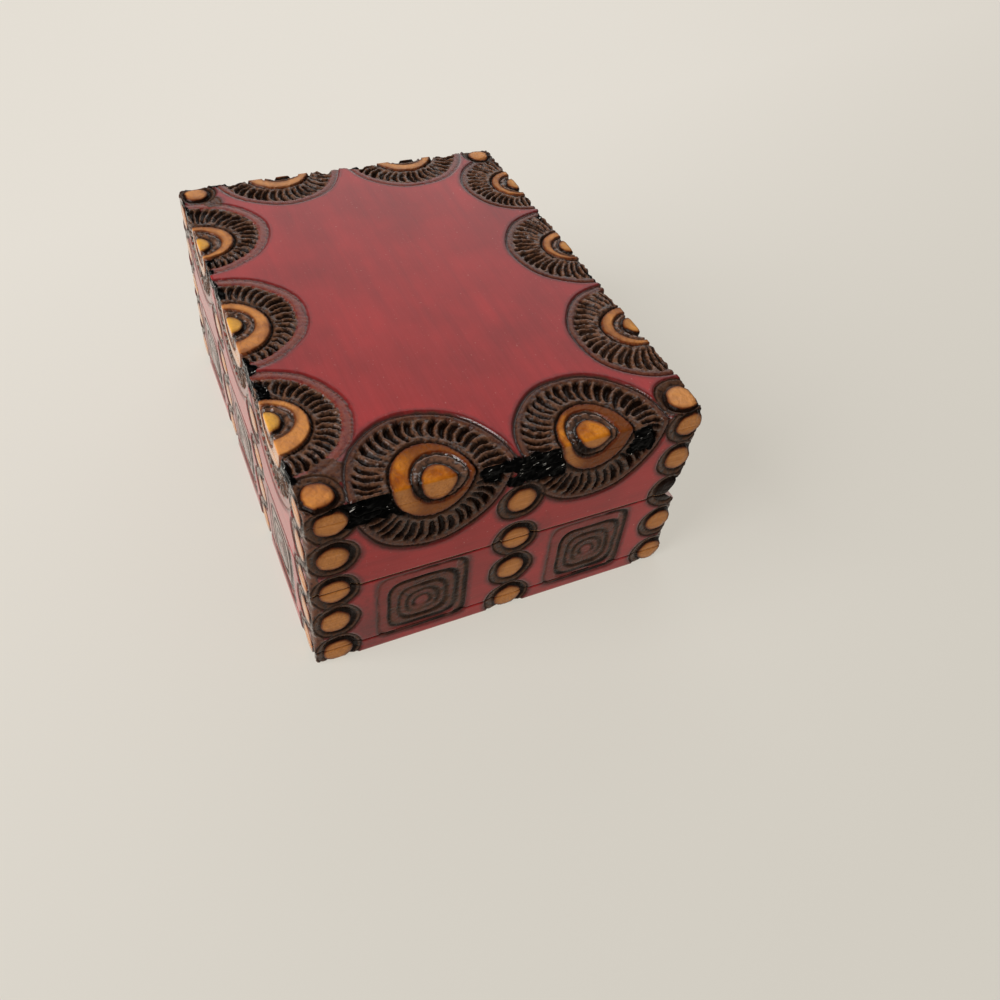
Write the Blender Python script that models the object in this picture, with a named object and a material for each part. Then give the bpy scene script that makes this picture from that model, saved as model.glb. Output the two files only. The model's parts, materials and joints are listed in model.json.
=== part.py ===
"""Carved wooden trinket box with a lift-up lid, modelled piece by piece.

Metres, +Z up. The origin is the middle of the underside. X runs along the long sides and
the hinge line, -Y is the front, +Y the back with the hinge groove.
"""
import math

import bmesh
import bpy
from mathutils import Matrix, Vector

# Outer size of the closed box
BOX_LENGTH = 0.100
BOX_WIDTH = 0.075
BOX_HEIGHT = 0.043

# Carcass boards and the cut that frees the lid
LID_DEPTH = 0.022
SAW_KERF = 0.0004
WALL_THICKNESS = 0.008
TOP_THICKNESS = 0.004
BOTTOM_THICKNESS = 0.0034
GLUE_LINE = 0.0003

# V-shaped groove along the back in which the hinge eyes lie
GROOVE_DEPTH = 0.0033
LID_BEVEL_HEIGHT = 0.0056
BASE_BEVEL_HEIGHT = 0.0030

# Hinges: two pairs of interlinked split pins bent from round wire
HINGE_INSET = 0.022
WIRE_DIAMETER = 0.0009
EYE_RADIUS = 0.0012
LEG_SPACING = 0.0011
LEG_ANGLE = math.radians(45)
CLENCH_LENGTH = 0.0032
CLENCH_BEND = 0.0009
PIN_CLEARANCE = 0.0003
EYE_JOIN_ANGLE = math.radians(36)
EYE_NECK = 0.0006
EYE_STEPS = 9
BEND_STEPS = 3

# Ornament pressed and gouged into the closed box before the lid was sawn off.
# A rosette is folded over a top edge, part on the top and part on the side below it.
# Each is an oval: its place and half spread along the edge are shares of half the side, and
# its reach across the edge and the shift of its eye along it are shares of the half spread.
ROSETTE_SHARES = {
    "front": ((-0.600, 0.272, 1.10, 0.15), (0.0, 0.288, 1.04, 0.07), (0.584, 0.288, 1.02, -0.03)),
    "back": ((-0.672, 0.248, 1.04, 0.06), (-0.112, 0.286, 0.96, 0.02), (0.496, 0.296, 0.96, -0.06)),
    "right": ((-0.408, 0.395, 1.12, 0.02), (0.408, 0.395, 1.09, -0.01)),
    "left": ((-0.400, 0.389, 1.03, 0.02), (0.416, 0.389, 1.03, 0.0)),
}
# The middles of the left end's rosettes lie below the edge, by this share of the lid's depth
ROSETTE_SINK_SHARES = {"front": 0.0, "back": 0.0, "right": 0.0, "left": 0.118}
EYE_SHARES = {"front": 0.49, "back": 0.43, "right": 0.50, "left": 0.50}
EYE_RING_SHARE = 0.325
EYE_BEAD_SHARE = 0.185
FAN_SHIFT_SHARE = 0.4
ROSETTE_GOUGES = 42
# A gouge's width at its outer end, as a share of the space that each one has there
GOUGE_WIDTH_SHARE = 0.8
OUTLINE_GROOVE_WIDTH = 0.0007
OUTLINE_GROOVE_DEPTH = 0.0005
COLLAR_WIDTH = 0.0008
COLLAR_DEPTH = 0.0006
GOUGE_RIM = 0.0018
GOUGE_GAP = 0.0003
GOUGE_DEPTH = 0.0011
BEAD_RADIUS = 0.0027
BEAD_RING_WIDTH = 0.0015
BEAD_RING_DEPTH = 0.0008

# The deepest line of a ring round a bead lies near the bead, this share of its width away
BEAD_LEAN_SHARE = 0.3

# Rows of beads run down each side, and nested squares stand between them on the base
BEAD_PITCH = 0.0090
BEAD_FIRST_DROP = 0.0042
BEAD_ROWS = 5
LONG_ROW_INSET = 0.0049
END_ROW_INSET = 0.0041
CORNER_BEAD_INSET = 0.0036
END_ROW_SHARES = (0.04,)
LONG_ROW_SHARES = (-0.304, 0.284)
SQUARE_WIDTH = 0.0172
SQUARE_DROP = 0.0316
SQUARE_GROOVE_WIDTH = 0.0010
SQUARE_GROOVE_DEPTH = 0.0006
SQUARE_SIZE_SHARES = (1.0, 0.76, 0.38)
END_SQUARE_SHARES = (-0.435, 0.49)
LONG_SQUARE_SHARES = (-0.62, -0.014, 0.59)

# Facet counts of the round stamps
OUTLINE_STEPS = 18
EYE_RING_STEPS = 12
BEAD_STEPS = 8

# How far a stamp's cutter stands out of its surface, and the slip of a rosette's lower half
STAMP_OVERRUN = 0.00015
FOLD_SLIP = 0.00012

# One overrun serves every cut
CUT_OVERRUN = 0.002
MERGE_DISTANCE = 0.00001
ROUND_SIDES = 14

SAW_LEVEL = BOX_HEIGHT - LID_DEPTH
HALF_LENGTH = BOX_LENGTH / 2
HALF_WIDTH = BOX_WIDTH / 2
HALF_KERF = SAW_KERF / 2
PIVOT = Vector((0, HALF_WIDTH - GROOVE_DEPTH, SAW_LEVEL))

PARTS = "wooden_trinket_box"
CUTTERS = "wooden_trinket_box_cutters"


def clear_scene():
    for obj in list(bpy.data.objects):
        bpy.data.objects.remove(obj, do_unlink=True)


def make_collection(name):
    collection = bpy.data.collections.new(name)
    bpy.context.scene.collection.children.link(collection)
    return collection


def make_material(name, color, roughness, metallic=0.0):
    material = bpy.data.materials.new(name)
    material.use_nodes = True
    shader = material.node_tree.nodes["Principled BSDF"]
    shader.inputs["Base Color"].default_value = (*color, 1)
    shader.inputs["Roughness"].default_value = roughness
    shader.inputs["Metallic"].default_value = metallic
    return material


def add_object(name, mesh, collection, material=None, parent=None, location=(0, 0, 0)):
    obj = bpy.data.objects.new(name, mesh)
    collection.objects.link(obj)
    place = Vector(location)
    if parent:
        obj.parent = parent
        place -= parent.location
    obj.location = place
    if material:
        mesh.materials.append(material)
    return obj


def hide_cutter(obj):
    obj.hide_render = True
    obj.display_type = "WIRE"
    return obj


def box_mesh(name, size):
    """A block of the given size about its own middle."""
    mesh = bpy.data.meshes.new(name)
    bm = bmesh.new()
    bmesh.ops.create_cube(bm, size=1)
    bmesh.ops.scale(bm, vec=size, verts=bm.verts)
    bm.to_mesh(mesh)
    bm.free()
    return mesh


def curve_as_mesh(obj, name, collection):
    """Turns a curve object into a closed mesh object in the same place."""
    bpy.context.view_layer.update()
    evaluated = obj.evaluated_get(bpy.context.evaluated_depsgraph_get())
    mesh = bpy.data.meshes.new_from_object(evaluated)
    bm = bmesh.new()
    bm.from_mesh(mesh)
    bmesh.ops.remove_doubles(bm, verts=bm.verts, dist=MERGE_DISTANCE)
    bm.to_mesh(mesh)
    bm.free()
    made = bpy.data.objects.new(name, mesh)
    made.matrix_world = obj.matrix_world
    collection.objects.link(made)
    curve = obj.data
    bpy.data.objects.remove(obj, do_unlink=True)
    bpy.data.curves.remove(curve)
    return made


def groove_cutter(collection):
    """A bar of V section that runs past both ends of the box along the saw line."""
    past = CUT_OVERRUN / GROOVE_DEPTH
    outline = [
        (PIVOT.y, SAW_LEVEL - HALF_KERF),
        (HALF_WIDTH + CUT_OVERRUN, SAW_LEVEL - HALF_KERF - BASE_BEVEL_HEIGHT * (1 + past)),
        (HALF_WIDTH + CUT_OVERRUN, SAW_LEVEL + HALF_KERF + LID_BEVEL_HEIGHT * (1 + past)),
        (PIVOT.y, SAW_LEVEL + HALF_KERF),
    ]
    curve = bpy.data.curves.new("hinge_groove_outline", "CURVE")
    curve.dimensions = "2D"
    curve.fill_mode = "BOTH"
    curve.extrude = HALF_LENGTH + CUT_OVERRUN
    spline = curve.splines.new("POLY")
    spline.points.add(len(outline) - 1)
    for point, (y, z) in zip(spline.points, outline):
        point.co = (y, z, 0, 1)
    spline.use_cyclic_u = True
    obj = bpy.data.objects.new("hinge_groove_outline", curve)
    bpy.context.scene.collection.objects.link(obj)
    obj.matrix_world = Matrix(((0, 0, 1, 0), (1, 0, 0, 0), (0, 1, 0, 0), (0, 0, 0, 1)))
    return hide_cutter(curve_as_mesh(obj, "hinge_groove_cutter", collection))


def rod_cutter(name, start, direction, length, radius, collection):
    """A round cutter that starts at a point and runs along a direction."""
    mesh = bpy.data.meshes.new(name)
    bm = bmesh.new()
    turn = direction.to_track_quat("Z", "Y").to_matrix().to_4x4()
    place = Matrix.Translation(start + direction * (length / 2)) @ turn
    bmesh.ops.create_cone(
        bm,
        cap_ends=True,
        segments=ROUND_SIDES,
        radius1=radius,
        radius2=radius,
        depth=length,
        matrix=place,
    )
    bm.to_mesh(mesh)
    bm.free()
    obj = bpy.data.objects.new(name, mesh)
    collection.objects.link(obj)
    return hide_cutter(obj)


def leg_direction(up):
    """The way a pin's legs run from the hinge line, inwards and up or down."""
    rise = math.sin(LEG_ANGLE) if up else -math.sin(LEG_ANGLE)
    return Vector((0, -math.cos(LEG_ANGLE), rise))


def eye_centre_offset(up):
    """The lid's eye hangs through the base's, so its crown passes the hinge line."""
    return EYE_RADIUS if up else 0


def pin_path(up):
    """Centreline of one split pin about the hinge line: clench, leg, eye, leg, clench."""
    along = leg_direction(up)
    across = Vector((1, 0, 0)) if up else along.cross(Vector((1, 0, 0))).normalized()
    centre = along * eye_centre_offset(up)
    half_gap = LEG_SPACING / 2
    clench_y = -(WALL_THICKNESS - GROOVE_DEPTH) - PIN_CLEARANCE - WIRE_DIAMETER / 2
    eye = []
    for step in range(EYE_STEPS + 1):
        turn = EYE_JOIN_ANGLE + (2 * math.pi - 2 * EYE_JOIN_ANGLE) * step / EYE_STEPS
        eye.append(centre + along * EYE_RADIUS * math.cos(turn) + across * EYE_RADIUS * math.sin(turn))

    def leg(side):
        shift = across * (half_gap * side)
        neck = centre + along * (EYE_RADIUS + EYE_NECK) + shift
        reach = (clench_y - shift.y) / along.y
        corner = along * reach + shift
        before = corner - along * CLENCH_BEND
        out = Vector((side, 0, 0))
        after = corner + out * CLENCH_BEND
        points = [neck]
        for step in range(BEND_STEPS + 1):
            t = step / BEND_STEPS
            points.append(before * (1 - t) ** 2 + corner * (2 * t * (1 - t)) + after * t ** 2)
        points.append(corner + out * CLENCH_LENGTH)
        return points

    first = leg(1)
    last = leg(-1)
    return list(reversed(first)) + eye + last


def add_pin(name, x, up, collection, material, parent):
    """A split pin bent from one round wire, on the hinge line at x."""
    path = pin_path(up)
    curve = bpy.data.curves.new(name, "CURVE")
    curve.dimensions = "3D"
    curve.bevel_depth = WIRE_DIAMETER / 2
    curve.bevel_resolution = 2
    curve.use_fill_caps = True
    spline = curve.splines.new("POLY")
    spline.points.add(len(path) - 1)
    for point, place in zip(spline.points, path):
        point.co = (*place, 1)
    spline.use_smooth = True
    obj = bpy.data.objects.new(name, curve)
    collection.objects.link(obj)
    curve.materials.append(material)
    place = PIVOT + Vector((x, 0, 0))
    if parent:
        obj.parent = parent
        place -= parent.location
    obj.location = place
    return obj


def hinge_cutters(x, collection):
    """Room for one hinge: a pocket round the eyes and a slanting hole each way."""
    outer_eye = EYE_RADIUS + WIRE_DIAMETER / 2
    pocket_radius = outer_eye + PIN_CLEARANCE
    hole_radius = LEG_SPACING / 2 + WIRE_DIAMETER / 2 + PIN_CLEARANCE
    middle = PIVOT + Vector((x, 0, 0))
    tag = "right" if x > 0 else "left"
    start = middle - Vector((pocket_radius, 0, 0))
    pocket = rod_cutter(
        f"eye_pocket_cutter_{tag}", start, Vector((1, 0, 0)), 2 * pocket_radius, pocket_radius, collection
    )
    through = (WALL_THICKNESS + CUT_OVERRUN) / math.cos(LEG_ANGLE)
    cutters = {"pocket": pocket}
    for up, side in ((True, "lid"), (False, "base")):
        along = leg_direction(up)
        seat_depth = eye_centre_offset(up) + pocket_radius + PIN_CLEARANCE
        cutters[f"{side}_seat"] = rod_cutter(
            f"{side}_eye_seat_cutter_{tag}", middle, along, seat_depth, pocket_radius, collection
        )
        cutters[f"{side}_hole"] = rod_cutter(
            f"{side}_leg_hole_cutter_{tag}", middle, along, through, hole_radius, collection
        )
    return cutters


def ring_groove(bm, place, inner, outer, depth, steps, lean=0.5):
    """A ring of V section between two radii, its deepest line a share of the way across."""
    line = inner + (outer - inner) * lean
    grow = (depth + STAMP_OVERRUN) / depth
    corners = [
        (line + (inner - line) * grow, STAMP_OVERRUN),
        (line + (outer - line) * grow, STAMP_OVERRUN),
        (line, -depth),
    ]
    verts = [bm.verts.new((x, 0, z)) for x, z in corners]
    edges = [bm.edges.new((verts[i - 1], verts[i])) for i in range(len(verts))]
    before = set(bm.verts) - set(verts)
    bmesh.ops.spin(
        bm,
        geom=verts + edges,
        axis=(0, 0, 1),
        cent=(0, 0, 0),
        angle=2 * math.pi,
        steps=steps,
        use_merge=True,
    )
    made = [vert for vert in bm.verts if vert not in before]
    half_step = Matrix.Rotation(math.pi / steps, 4, "Z")
    bmesh.ops.transform(bm, matrix=place @ half_step, verts=made)


def gouge(bm, place, inner, outer, width, depth):
    """One radial cut, a hollow pyramid pointed at its inner end and wide at its outer one."""
    height = depth + STAMP_OVERRUN
    across = math.sin(math.radians(60))
    scale = (outer - inner) / (1 + math.cos(math.radians(60)))
    fit = (
        place
        @ Matrix.Translation((inner + scale, 0, STAMP_OVERRUN - height / 2))
        @ Matrix.Diagonal((scale, width / 2 / across, -height, 1))
        @ Matrix.Rotation(math.radians(90), 4, "Z")
    )
    bmesh.ops.create_cone(bm, segments=3, cap_ends=True, radius1=1, radius2=0, depth=1, matrix=fit)


def side_faces():
    """Each carved side: the middle of its top edge, the way it runs, its normal, half its length."""
    along_x = Vector((1, 0, 0))
    along_y = Vector((0, 1, 0))
    return {
        "front": (Vector((0, -HALF_WIDTH, BOX_HEIGHT)), along_x, -along_y, HALF_LENGTH),
        "back": (Vector((0, HALF_WIDTH, BOX_HEIGHT)), along_x, along_y, HALF_LENGTH),
        "right": (Vector((HALF_LENGTH, 0, BOX_HEIGHT)), along_y, along_x, HALF_WIDTH),
        "left": (Vector((-HALF_LENGTH, 0, BOX_HEIGHT)), along_y, -along_x, HALF_WIDTH),
    }


def stamp_place(spot, run, normal):
    """Matrix of a stamp: its own Z leaves the surface, its own X follows the edge."""
    turn = Matrix((run, normal.cross(run), normal)).transposed().to_4x4()
    return Matrix.Translation(spot) @ turn


def add_rosette(bm, place, spread, reach_share, shift_share, eye_share):
    """An oval outline, an eye with a bead in it, and a fan of gouges between the two."""
    oval = place @ Matrix.Diagonal((1, reach_share, 1, 1))
    inside = spread - OUTLINE_GROOVE_WIDTH
    ring_groove(bm, oval, inside, spread, OUTLINE_GROOVE_DEPTH, OUTLINE_STEPS)
    shift = spread * shift_share
    eye = spread * eye_share
    aside = oval @ Matrix.Translation((shift, 0, 0))
    ring_groove(bm, aside, eye, eye + COLLAR_WIDTH, COLLAR_DEPTH, EYE_RING_STEPS)
    bead, ring = spread * EYE_BEAD_SHARE, spread * EYE_RING_SHARE
    ring_groove(bm, aside, bead, ring, BEAD_RING_DEPTH, BEAD_STEPS, BEAD_LEAN_SHARE)
    fan = shift * FAN_SHIFT_SHARE
    middle = oval @ Matrix.Translation((fan, 0, 0))
    room = 2 * math.pi * (spread - GOUGE_RIM) / ROSETTE_GOUGES
    width = room * min(1, reach_share) * GOUGE_WIDTH_SHARE
    for index in range(ROSETTE_GOUGES):
        angle = 2 * math.pi * (index + 0.5) / ROSETTE_GOUGES
        turn = math.atan2(math.sin(angle) / reach_share, math.cos(angle))
        inner = eye + COLLAR_WIDTH + GOUGE_GAP + (shift - fan) * math.cos(turn)
        outer = spread - GOUGE_RIM - fan * math.cos(turn)
        gouge(bm, middle @ Matrix.Rotation(turn, 4, "Z"), inner, outer, width, GOUGE_DEPTH)


def add_bead(bm, place):
    """The ring pressed round one bead."""
    outer = BEAD_RADIUS + BEAD_RING_WIDTH
    ring_groove(bm, place, BEAD_RADIUS, outer, BEAD_RING_DEPTH, BEAD_STEPS, BEAD_LEAN_SHARE)


def add_square(bm, place):
    """Nested square grooves about one middle."""
    for share in SQUARE_SIZE_SHARES:
        outer = SQUARE_WIDTH * share / math.sqrt(2)
        ring_groove(bm, place, outer - SQUARE_GROOVE_WIDTH, outer, SQUARE_GROOVE_DEPTH, 4)


def bead_rows(long_side, half):
    """Where the rows of beads stand along a side, and the first bead each one has."""
    corner = half - (LONG_ROW_INSET if long_side else END_ROW_INSET)
    middle = LONG_ROW_SHARES if long_side else END_ROW_SHARES
    return [(-corner, 0), (corner, 0)] + [(half * share, 1) for share in middle]


def finish_cutter(bm, name, collection):
    bmesh.ops.recalc_face_normals(bm, faces=bm.faces)
    mesh = bpy.data.meshes.new(name)
    bm.to_mesh(mesh)
    bm.free()
    obj = bpy.data.objects.new(name, mesh)
    collection.objects.link(obj)
    return hide_cutter(obj)


def stamp_cutters(collection):
    """Cutters for each carved face: rosettes with squares, and beads by themselves."""
    tools = {"top": []}
    top_beads = bmesh.new()
    up = Vector((0, 0, 1))
    for side, (edge, run, normal, half) in side_faces().items():
        long_side = side in ("front", "back")
        rosettes = bmesh.new()
        top_rosettes = bmesh.new()
        beads = bmesh.new()
        sink = LID_DEPTH * ROSETTE_SINK_SHARES[side]
        for place_share, spread_share, reach_share, shift_share in ROSETTE_SHARES[side]:
            along = half * place_share
            oval = (half * spread_share, reach_share, shift_share, EYE_SHARES[side])
            slipped = edge + run * (along + FOLD_SLIP) - up * sink
            add_rosette(rosettes, stamp_place(slipped, run, normal), *oval)
            on_top = edge + run * along + normal * sink
            add_rosette(top_rosettes, stamp_place(on_top, run, up), *oval)
        for share in LONG_SQUARE_SHARES if long_side else END_SQUARE_SHARES:
            spot = edge + run * (half * share) - up * SQUARE_DROP
            add_square(rosettes, stamp_place(spot, run, normal))
        for along, first in bead_rows(long_side, half):
            for row in range(first, BEAD_ROWS):
                drop = BEAD_FIRST_DROP + BEAD_PITCH * row
                add_bead(beads, stamp_place(edge + run * along - up * drop, run, normal))
        tools[side] = [
            finish_cutter(rosettes, f"{side}_rosette_cutter", collection),
            finish_cutter(beads, f"{side}_bead_cutter", collection),
        ]
        tools["top"].append(finish_cutter(top_rosettes, f"top_{side}_rosette_cutter", collection))
    for x in (-HALF_LENGTH + CORNER_BEAD_INSET, HALF_LENGTH - CORNER_BEAD_INSET):
        for y in (-HALF_WIDTH + CORNER_BEAD_INSET, HALF_WIDTH - CORNER_BEAD_INSET):
            add_bead(top_beads, Matrix.Translation((x, y, BOX_HEIGHT)))
    tools["top"].append(finish_cutter(top_beads, "top_bead_cutter", collection))
    return tools


def cut(obj, cutter):
    modifier = obj.modifiers.new(cutter.name, "BOOLEAN")
    modifier.operation = "DIFFERENCE"
    modifier.solver = "EXACT"
    modifier.object = cutter


def carve(obj, stamps, faces):
    for face in faces:
        for cutter in stamps[face]:
            cut(obj, cutter)


def board(name, low, high, collection, material, parent=None):
    """A flat board between two corners, with its origin at its middle."""
    low = Vector(low)
    high = Vector(high)
    mesh = box_mesh(name, high - low)
    return add_object(name, mesh, collection, material, parent, (low + high) / 2)


def wall_ring(prefix, low_z, high_z, collection, material, parent):
    """Four walls: the short ends run the full width and cover the long walls' ends."""
    inner = HALF_LENGTH - WALL_THICKNESS
    between = inner - GLUE_LINE
    walls = {}
    spans = {
        "end_left": ((-HALF_LENGTH, -HALF_WIDTH), (-inner, HALF_WIDTH)),
        "end_right": ((inner, -HALF_WIDTH), (HALF_LENGTH, HALF_WIDTH)),
        "front": ((-between, -HALF_WIDTH), (between, -HALF_WIDTH + WALL_THICKNESS)),
        "back": ((-between, HALF_WIDTH - WALL_THICKNESS), (between, HALF_WIDTH)),
    }
    for side, (low, high) in spans.items():
        name = f"{prefix}_{side}"
        walls[side] = board(name, (*low, low_z), (*high, high_z), collection, material, parent)
    return walls


def main():
    clear_scene()
    parts = make_collection(PARTS)
    cutters = make_collection(CUTTERS)
    stained = make_material("maroon_stained_limewood", (0.30, 0.065, 0.07), 0.35)
    under = make_material("bare_limewood", (0.62, 0.42, 0.25), 0.6)
    wire = make_material("brassed_steel_wire", (0.55, 0.42, 0.22), 0.35, 1.0)

    hinge = bpy.data.objects.new("lid_hinge_axis", None)
    hinge.location = PIVOT
    parts.objects.link(hinge)

    base_low = BOTTOM_THICKNESS + GLUE_LINE
    base_high = SAW_LEVEL - HALF_KERF
    lid_low = SAW_LEVEL + HALF_KERF
    lid_high = BOX_HEIGHT - TOP_THICKNESS - GLUE_LINE
    base = wall_ring("base", base_low, base_high, parts, stained, None)
    lid = wall_ring("lid", lid_low, lid_high, parts, stained, hinge)
    corner = (HALF_LENGTH, HALF_WIDTH)
    bottom = board("bottom_board", (-corner[0], -corner[1], 0), (*corner, BOTTOM_THICKNESS), parts, under)
    top = board(
        "lid_top",
        (-corner[0], -corner[1], BOX_HEIGHT - TOP_THICKNESS),
        (*corner, BOX_HEIGHT),
        parts,
        stained,
        hinge,
    )

    stamps = stamp_cutters(cutters)
    sides = ("front", "back", "right", "left")
    carve(bottom, stamps, sides)
    carve(top, stamps, ("top", *sides))
    for walls in (base, lid):
        carve(walls["front"], stamps, ("front",))
        carve(walls["back"], stamps, ("back",))
        carve(walls["end_right"], stamps, ("right", "front", "back"))
        carve(walls["end_left"], stamps, ("left", "front", "back"))

    groove = groove_cutter(cutters)
    for walls in (base, lid):
        for side in ("end_left", "end_right", "back"):
            cut(walls[side], groove)

    for x in (-HALF_LENGTH + HINGE_INSET, HALF_LENGTH - HINGE_INSET):
        tag = "right" if x > 0 else "left"
        tools = hinge_cutters(x, cutters)
        for side, walls in (("base", base), ("lid", lid)):
            for kind in ("pocket", f"{side}_seat", f"{side}_hole"):
                cut(walls["back"], tools[kind])
        add_pin(f"base_hinge_pin_{tag}", x, False, parts, wire, None)
        add_pin(f"lid_hinge_pin_{tag}", x, True, parts, wire, hinge)


main()
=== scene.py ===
import json
import math

import bmesh
import bpy
import numpy as np
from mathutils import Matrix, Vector


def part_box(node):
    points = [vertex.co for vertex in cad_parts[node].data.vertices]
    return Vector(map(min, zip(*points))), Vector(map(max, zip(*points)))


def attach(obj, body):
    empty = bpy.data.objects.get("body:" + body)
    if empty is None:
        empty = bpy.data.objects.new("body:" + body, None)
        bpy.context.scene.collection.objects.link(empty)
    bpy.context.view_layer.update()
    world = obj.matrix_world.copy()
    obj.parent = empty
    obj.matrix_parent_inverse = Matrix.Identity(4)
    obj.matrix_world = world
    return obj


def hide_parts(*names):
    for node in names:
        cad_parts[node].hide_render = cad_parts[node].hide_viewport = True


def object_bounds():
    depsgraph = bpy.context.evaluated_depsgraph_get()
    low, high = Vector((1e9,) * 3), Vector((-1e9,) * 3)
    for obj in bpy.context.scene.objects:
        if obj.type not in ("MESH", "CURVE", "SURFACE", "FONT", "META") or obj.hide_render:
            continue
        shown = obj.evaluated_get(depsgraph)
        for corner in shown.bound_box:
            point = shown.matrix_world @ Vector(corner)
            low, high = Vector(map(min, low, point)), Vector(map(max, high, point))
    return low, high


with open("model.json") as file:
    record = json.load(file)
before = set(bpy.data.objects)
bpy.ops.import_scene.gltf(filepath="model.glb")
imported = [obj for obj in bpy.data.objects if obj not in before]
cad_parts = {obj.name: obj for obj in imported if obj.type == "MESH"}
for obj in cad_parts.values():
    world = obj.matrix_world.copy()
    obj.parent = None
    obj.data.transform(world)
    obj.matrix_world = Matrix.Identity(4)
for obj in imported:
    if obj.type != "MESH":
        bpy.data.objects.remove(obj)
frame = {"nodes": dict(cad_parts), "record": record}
cadLow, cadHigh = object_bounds()

# Shapes are worked out in millimetres and turned to metres when a mesh is made
mm = 0.001
touching = 0.001  # points nearer than this, in mm, count as in one place


def nodeBox(name):
    low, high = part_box(name)
    return [round(value / mm, 3) for value in low], [round(value / mm, 3) for value in high]


halfLong = round(cadHigh.x / mm, 3)
halfWide = round(cadHigh.y / mm, 3)
tall = round(cadHigh.z / mm, 3)
topSeam = nodeBox("lid_top")[0][2]
bottomSeam = nodeBox("bottom_board")[1][2]
endInner = nodeBox("lid_end_right")[0][0]
wallInner = nodeBox("lid_front")[1][1]
sawLevel = (nodeBox("lid_front")[0][2] + nodeBox("base_front")[1][2]) / 2
pivotY = round(frame["record"]["behaviour"]["joints"][0]["pos_m"][1] / mm, 3)
print("frame loaded:", halfLong * 2, "x", halfWide * 2, "x", tall, "mm")


# Ornament, as fields over the outer faces. A field is drawn over a face's own two directions
# and holds how deep the tool went, and how far inside an amber, burnt or sooty patch each
# point is, all in millimetres. The others say how brown the burn is, how near to black, how
# yellow, toasted or pale the clear wood is, and how varnished and how burnished it all is.
farOut = -9.0
channels = {
    "depth": 0.0, "amberEdge": farOut, "burnEdge": farOut, "sootEdge": farOut,
    "scorch": 0.0, "char": 0.0, "gold": 0.0, "toast": 0.0, "blush": 0.0, "varnish": 0.0,
    "polish": 0.0,
}

slack = -0.3  # how far outside its edge a mark still says how burnt and how clear it is, in mm
# Every mark draws its own random numbers
faceSeeds = {"front": 100, "back": 200, "right": 300, "left": 400, "topBeads": 500, "topBurns": 520}
seedSteps = {"beads": 20, "column": 10, "soot": 60, "burns": 70, "corners": 71, "squares": 90}


def smooth(low, high, value):
    share = np.clip((value - low) / (high - low), 0, 1)
    return share * share * (3 - 2 * share)


def swell(value, strength, at, halfWidth):
    # Rises to a strength where a value is near a place, and falls smoothly away on each side
    share = np.clip(np.abs(value - at) / halfWidth, 0, 1)
    return strength * (1 - share * share) ** 2


blotchLook = {"table": 64, "shift": (23.7, 31.3)}


def blotch(along, across, size, seed):
    # Soft random blotches of about one size, between -1 and 1
    count = blotchLook["table"]
    table = np.random.default_rng(seed).uniform(-1, 1, (count, count))
    x, y = (place / size + shift for place, shift in zip((along, across), blotchLook["shift"]))
    column, row = np.floor(x).astype(int), np.floor(y).astype(int)
    shareX, shareY = smooth(0, 1, x - column), smooth(0, 1, y - row)
    lines = []
    for line in (row, row + 1):
        left, right = table[line % count, column % count], table[line % count, (column + 1) % count]
        lines.append(left * (1 - shareX) + right * shareX)
    return lines[0] * (1 - shareY) + lines[1] * shareY


def insideOval(along, across, oval):
    # Millimetres in from an oval that runs from one place to another along the edge
    start, end, reach, *lift = oval
    half = (end - start) / 2
    share = np.hypot((along - (start + end) / 2) / half, (across - sum(lift)) / reach)
    return (1 - share) * (half + reach) / 2


def blankField(count):
    return {name: np.full(count, value) for name, value in channels.items()}


def press(field, near, made):
    for name, values in made.items():
        field[name][near] = np.maximum(field[name][near], values)


def sinkRing(look, ring, bead, tilt=1.0):
    # A ring that slopes down to the bead it leaves standing, burnt blackest at its foot
    slope = np.clip(ring / np.maximum(ring - bead, 0.01), 0, 1)
    start, end, power = look["ringDepth"]
    depth = start + (end - start) * slope ** power * tilt + swell(ring, *look["line"])
    crown, drop, roundness = look["beadTop"]
    standing = crown + drop * (1 - smooth(0, roundness, bead))
    wall = smooth(-look["wallWidth"], 0, bead)
    strength, *foot = look["footChar"]
    char = look["ringChar"] + swell(ring, *look["lineChar"]) + strength * smooth(*foot, slope * tilt)
    return depth * (1 - wall) + standing * wall, char, slope


# Gouges are counted round the rosette, and each runs from near the eye, at 0, to the rim, at 1
gougeLook = {
    "count": 42, "lean": 1.9, "sideVaries": 0.10, "endVaries": 0.06,
    "start": 0.08, "startVaries": 0.10, "startFade": 0.2, "endFade": 0.05,
    "waver": 0.05, "waverAlong": 3, "waverAround": 0.6,
    "halfWidth": 0.25, "widening": 0.15, "widthVaries": 0.22, "roundFrom": 0.68, "roundPower": 2.5,
    "bowlPower": 0.75, "bowlLean": 0.25, "depth": 0.85, "depthVaries": 0.30, "innerShare": 0.55,
    "ridgeDepth": 0.16, "ridgeShare": 0.75, "ridgeEnd": (0.5, 1, 0.12), "ridgeWear": 0.24, "wearSize": 1.4,
}


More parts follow.
